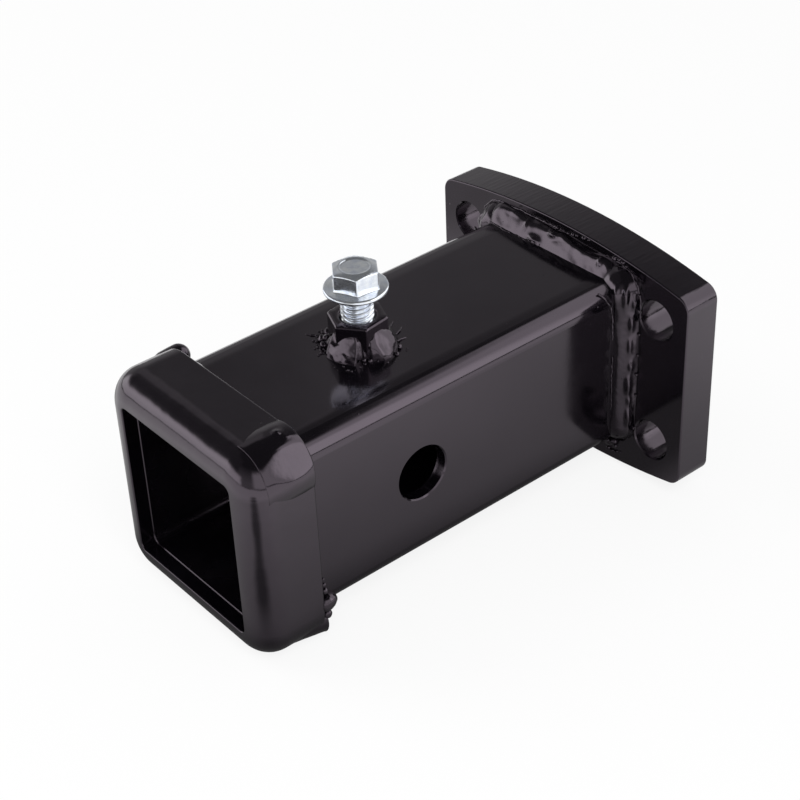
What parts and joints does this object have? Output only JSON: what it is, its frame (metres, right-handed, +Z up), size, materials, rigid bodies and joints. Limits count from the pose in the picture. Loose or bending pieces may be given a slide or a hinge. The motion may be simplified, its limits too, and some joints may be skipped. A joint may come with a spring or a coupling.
{
  "type": "bolt-on receiver tube",
  "caption": "Square steel receiver tube on an arched bolt-on plate, with a rounded collar at its mouth, pin holes through both sides and a set bolt on top that stops rattle.",
  "frame": {"origin": "middle of the plate's four bolt holes, on the plate's back face", "axes": "+Y out of the plate's back face, so the tube runs and its mouth looks towards -Y; +Z up, on the set bolt's side; +X to the right as seen from the mouth"},
  "size_m": [0.1104, 0.162, 0.0978],
  "materials": {
    "gloss_black": "gloss",
    "bright_zinc": "bright zinc plate"
  },
  "bodies": {
    "receiver": {"mounting_plate": "gloss_black", "receiver_tube": "gloss_black", "mouth_collar": "gloss_black", "plate_weld_top": "gloss_black", "plate_weld_bottom": "gloss_black", "plate_weld_right": "gloss_black", "plate_weld_left": "gloss_black", "collar_weld_top_right": "gloss_black", "collar_weld_top_left": "gloss_black", "collar_weld_bottom_right": "gloss_black", "collar_weld_bottom_left": "gloss_black", "clamp_nut": "gloss_black", "nut_weld": "gloss_black"},
    "bolt": {"set_bolt": "bright_zinc"}
  },
  "joints": [
    {"name": "set_bolt_travel", "type": "slide", "parent": "receiver", "child": "bolt", "axis": [0, 0, 1], "range_m": [-0.0085, 0.0085]}
  ]
}
